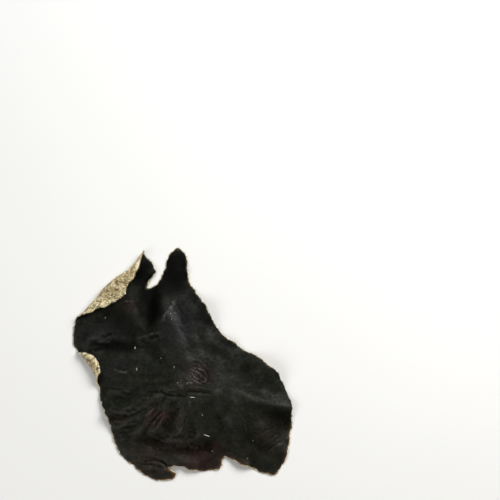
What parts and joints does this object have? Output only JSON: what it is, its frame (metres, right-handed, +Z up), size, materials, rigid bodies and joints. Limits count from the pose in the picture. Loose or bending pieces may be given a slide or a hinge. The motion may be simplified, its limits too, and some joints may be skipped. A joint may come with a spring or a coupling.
{
  "type": "wood ear mushroom",
  "caption": "Dried wood ear mushroom: one thin, wrinkled dark sheet lying felt side down, with rolled pale felted edges and a torn lower margin.",
  "frame": {"origin": "on the table under the middle of the mushroom's bounding box", "axes": "+Z up from the table, +Y away from the viewer along the longer side, +X to the viewer's right"},
  "size_m": [0.0858, 0.0918, 0.0087],
  "materials": {
    "flesh": "dried leathery flesh, near-black and softly glossy above, tan matted felt below and where an edge rolls over"
  },
  "bodies": {
    "root": {"wood_ear": "flesh"}
  },
  "joints": []
}
